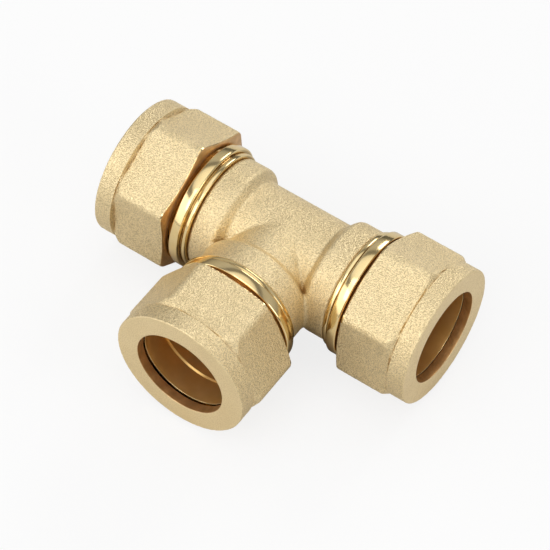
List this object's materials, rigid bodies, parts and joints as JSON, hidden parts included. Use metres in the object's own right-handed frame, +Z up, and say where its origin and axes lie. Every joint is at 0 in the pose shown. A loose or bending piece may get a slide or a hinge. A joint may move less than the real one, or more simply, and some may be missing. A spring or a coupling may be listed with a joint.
{
  "type": "compression tee fitting",
  "caption": "Brass equal compression tee: a forged tee body with a hexagon nut and a loose olive on each end, for 22 mm tube.",
  "frame": {"origin": "where the axes of the run and the branch cross", "axes": "+X along the run towards the right nut, -Y along the branch, +Z up, square to both axes"},
  "size_m": [0.0823, 0.0578, 0.0348],
  "materials": {
    "forged_brass": "shot-blasted matt, with turned bright rings",
    "turned_brass": "bright turned"
  },
  "bodies": {
    "tee_body": {"tee_body": "forged_brass"},
    "olive_right": {"olive_right": "turned_brass"},
    "nut_right": {"nut_right": "forged_brass"},
    "olive_left": {"olive_left": "turned_brass"},
    "nut_left": {"nut_left": "forged_brass"},
    "olive_branch": {"olive_branch": "turned_brass"},
    "nut_branch": {"nut_branch": "forged_brass"}
  },
  "joints": [
    {"name": "olive_right_slide", "type": "slide", "parent": "tee_body", "child": "olive_right", "axis": [1, 0, 0], "range_m": [0, 0.0091]},
    {"name": "nut_right_turn", "type": "hinge", "parent": "olive_right", "child": "nut_right", "pos_m": [0.032, 0, 0], "axis": [1, 0, 0], "range_deg": [0, 1800]},
    {"name": "olive_left_slide", "type": "slide", "parent": "tee_body", "child": "olive_left", "axis": [-1, 0, 0], "range_m": [0, 0.0091]},
    {"name": "nut_left_turn", "type": "hinge", "parent": "olive_left", "child": "nut_left", "pos_m": [-0.032, 0, 0], "axis": [-1, 0, 0], "range_deg": [0, 1800]},
    {"name": "olive_branch_slide", "type": "slide", "parent": "tee_body", "child": "olive_branch", "axis": [0, -1, 0], "range_m": [0, 0.0091]},
    {"name": "nut_branch_turn", "type": "hinge", "parent": "olive_branch", "child": "nut_branch", "pos_m": [0, -0.032, 0], "axis": [0, -1, 0], "range_deg": [0, 1800]}
  ],
  "couplings": [
    {"joint": "olive_right_slide", "follows": "nut_right_turn", "m_per_rad": 0.00028875},
    {"joint": "olive_left_slide", "follows": "nut_left_turn", "m_per_rad": 0.00028875},
    {"joint": "olive_branch_slide", "follows": "nut_branch_turn", "m_per_rad": 0.00028875}
  ]
}
